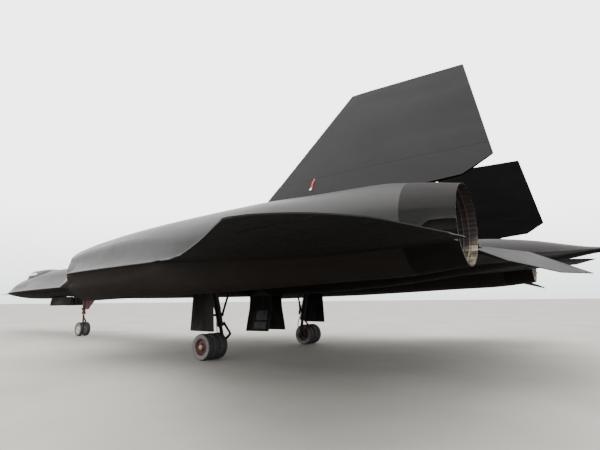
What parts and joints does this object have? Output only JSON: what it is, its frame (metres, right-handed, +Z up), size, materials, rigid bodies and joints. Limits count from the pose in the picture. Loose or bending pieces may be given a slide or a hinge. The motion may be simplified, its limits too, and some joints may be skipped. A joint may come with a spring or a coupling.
{
  "type": "supersonic reconnaissance jet",
  "caption": "Parked supersonic reconnaissance jet: chined body, delta wing, spiked inlets, canted all-moving fins, hinged canopy, elevons, gear doors and steered nose wheels.",
  "frame": {"origin": "on the ground, on the centreline, half way between the tip of the nose probe and the end of the tail", "axes": "+X towards the nose, +Y to port, +Z up"},
  "size_m": [30.9652, 16.95, 5.7999],
  "materials": {
    "black_skin": "faded matt black paint",
    "worn_skin": "faded matt black paint, weathered",
    "radome_skin": "smooth black",
    "fin_skin": "faded dark grey-black paint",
    "bare_steel": "bare metal",
    "heat_steel": "heat-stained ribbed metal",
    "side_glass": "dark, reflecting",
    "front_glass": "gold-tinted, reflecting",
    "seat_trim": "drab cloth and webbing",
    "cockpit_black": "black",
    "gear_paint": "dark brown-grey paint",
    "fork_paint": "red-brown paint",
    "red_hub": "dark red paint",
    "cream_hub": "cream paint",
    "tyre": "worn rubber"
  },
  "bodies": {
    "airframe": {"tail_cone": "black_skin", "centre_fuselage": "black_skin", "mid_fuselage": "black_skin", "cockpit_section": "black_skin", "windshield_frame": "black_skin", "port_inner_wing": "black_skin", "starboard_inner_wing": "black_skin", "port_outer_wing": "black_skin", "starboard_outer_wing": "black_skin", "port_main_leg_door": "black_skin", "starboard_main_leg_door": "black_skin", "port_nacelle": "worn_skin", "starboard_nacelle": "worn_skin", "nose_cone": "radome_skin", "port_fin_stub": "fin_skin", "starboard_fin_stub": "fin_skin", "pitot_probe": "bare_steel", "fuel_dump_mast": "bare_steel", "port_engine": "bare_steel", "starboard_engine": "bare_steel", "port_nozzle": "heat_steel", "starboard_nozzle": "heat_steel", "port_windshield_glass": "front_glass", "starboard_windshield_glass": "front_glass", "ejection_seat": "seat_trim", "instrument_panel": "cockpit_black", "control_stick": "cockpit_black", "port_main_leg": "gear_paint", "starboard_main_leg": "gear_paint", "port_main_brace": "gear_paint", "starboard_main_brace": "gear_paint", "nose_gear_leg": "gear_paint", "nose_gear_brace": "gear_paint"},
    "canopy": {"canopy_frame": "black_skin", "port_canopy_glass": "side_glass", "starboard_canopy_glass": "side_glass"},
    "nose_steering": {"nose_steering_fork": "fork_paint"},
    "nose_wheels": {"nose_wheel_hubs": "cream_hub", "port_nose_tyre": "tyre", "starboard_nose_tyre": "tyre"},
    "port_spike": {"port_inlet_spike": "radome_skin"},
    "port_rudder_blade": {"port_rudder": "fin_skin"},
    "port_inner_elevon_blade": {"port_inner_elevon": "black_skin"},
    "port_outer_elevon_blade": {"port_outer_elevon": "black_skin"},
    "port_nose_door": {"port_nose_gear_door": "black_skin"},
    "port_main_door": {"port_main_wheel_door": "black_skin"},
    "port_main_wheels": {"port_main_wheel_hubs": "red_hub", "port_main_tyre_inner": "tyre", "port_main_tyre_middle": "tyre", "port_main_tyre_outer": "tyre"},
    "starboard_spike": {"starboard_inlet_spike": "radome_skin"},
    "starboard_rudder_blade": {"starboard_rudder": "fin_skin"},
    "starboard_inner_elevon_blade": {"starboard_inner_elevon": "black_skin"},
    "starboard_outer_elevon_blade": {"starboard_outer_elevon": "black_skin"},
    "starboard_nose_door": {"starboard_nose_gear_door": "black_skin"},
    "starboard_main_door": {"starboard_main_wheel_door": "black_skin"},
    "starboard_main_wheels": {"starboard_main_wheel_hubs": "red_hub", "starboard_main_tyre_inner": "tyre", "starboard_main_tyre_middle": "tyre", "starboard_main_tyre_outer": "tyre"}
  },
  "joints": [
    {"name": "canopy_hinge", "type": "hinge", "parent": "airframe", "child": "canopy", "pos_m": [9.0511, 0, 3.3269], "axis": [0, -1, 0], "range_deg": [0, 50]},
    {"name": "port_spike_slide", "type": "slide", "parent": "airframe", "child": "port_spike", "axis": [0.9897, -0.0558, -0.1322], "range_m": [-0.66, 0]},
    {"name": "starboard_spike_slide", "type": "slide", "parent": "airframe", "child": "starboard_spike", "axis": [0.9897, 0.0558, -0.1322], "range_m": [-0.66, 0]},
    {"name": "port_rudder_pivot", "type": "hinge", "parent": "airframe", "child": "port_rudder_blade", "pos_m": [-11.7183, 3.85, 3.5281], "axis": [0.0152, -0.2588, 0.9658], "range_deg": [-20, 20]},
    {"name": "starboard_rudder_pivot", "type": "hinge", "parent": "airframe", "child": "starboard_rudder_blade", "pos_m": [-11.7183, -3.85, 3.5281], "axis": [0.0152, 0.2588, 0.9658], "range_deg": [-20, 20]},
    {"name": "port_inner_elevon_hinge", "type": "hinge", "parent": "airframe", "child": "port_inner_elevon_blade", "pos_m": [-13.9156, 1.02, 2.4425], "axis": [0.3202, 0.9473, -0.0059], "range_deg": [-0.5, 59.5]},
    {"name": "starboard_inner_elevon_hinge", "type": "hinge", "parent": "airframe", "child": "starboard_inner_elevon_blade", "pos_m": [-13.9156, -1.02, 2.4425], "axis": [-0.3202, 0.9473, 0.0059], "range_deg": [-24, 36]},
    {"name": "port_outer_elevon_hinge", "type": "hinge", "parent": "airframe", "child": "port_outer_elevon_blade", "pos_m": [-12.2668, 4.93, 2.3517], "axis": [-0.0408, 0.9989, -0.0233], "range_deg": [-25, 35]},
    {"name": "starboard_outer_elevon_hinge", "type": "hinge", "parent": "airframe", "child": "starboard_outer_elevon_blade", "pos_m": [-12.2668, -4.93, 2.3517], "axis": [0.0408, 0.9989, 0.0233], "range_deg": [-6, 54]},
    {"name": "port_nose_door_hinge", "type": "hinge", "parent": "airframe", "child": "port_nose_door", "pos_m": [6.7772, 0.41, 1.8224], "axis": [-0.9999, 0, 0.0157], "range_deg": [0, 84]},
    {"name": "port_main_door_hinge", "type": "hinge", "parent": "airframe", "child": "port_main_door", "pos_m": [-6.076, 0.23, 1.7193], "axis": [0.9999, 0, -0.0157], "range_deg": [0, 104]},
    {"name": "port_main_axle", "type": "hinge", "parent": "airframe", "child": "port_main_wheels", "pos_m": [-6.115, 2.41, 0.35], "axis": [0, 1, 0], "continuous": true},
    {"name": "starboard_nose_door_hinge", "type": "hinge", "parent": "airframe", "child": "starboard_nose_door", "pos_m": [6.7772, -0.41, 1.8224], "axis": [0.9999, 0, -0.0157], "range_deg": [0, 84]},
    {"name": "starboard_main_door_hinge", "type": "hinge", "parent": "airframe", "child": "starboard_main_door", "pos_m": [-6.076, -0.23, 1.7193], "axis": [-0.9999, 0, 0.0157], "range_deg": [0, 104]},
    {"name": "starboard_main_axle", "type": "hinge", "parent": "airframe", "child": "starboard_main_wheels", "pos_m": [-6.115, -2.41, 0.35], "axis": [0, 1, 0], "continuous": true},
    {"name": "nose_steering_pivot", "type": "hinge", "parent": "airframe", "child": "nose_steering", "pos_m": [5.285, 0, 0.318], "axis": [0, 0, 1], "range_deg": [-45, 45]},
    {"name": "nose_axle", "type": "hinge", "parent": "nose_steering", "child": "nose_wheels", "pos_m": [5.285, 0, 0.318], "axis": [0, 1, 0], "continuous": true}
  ]
}
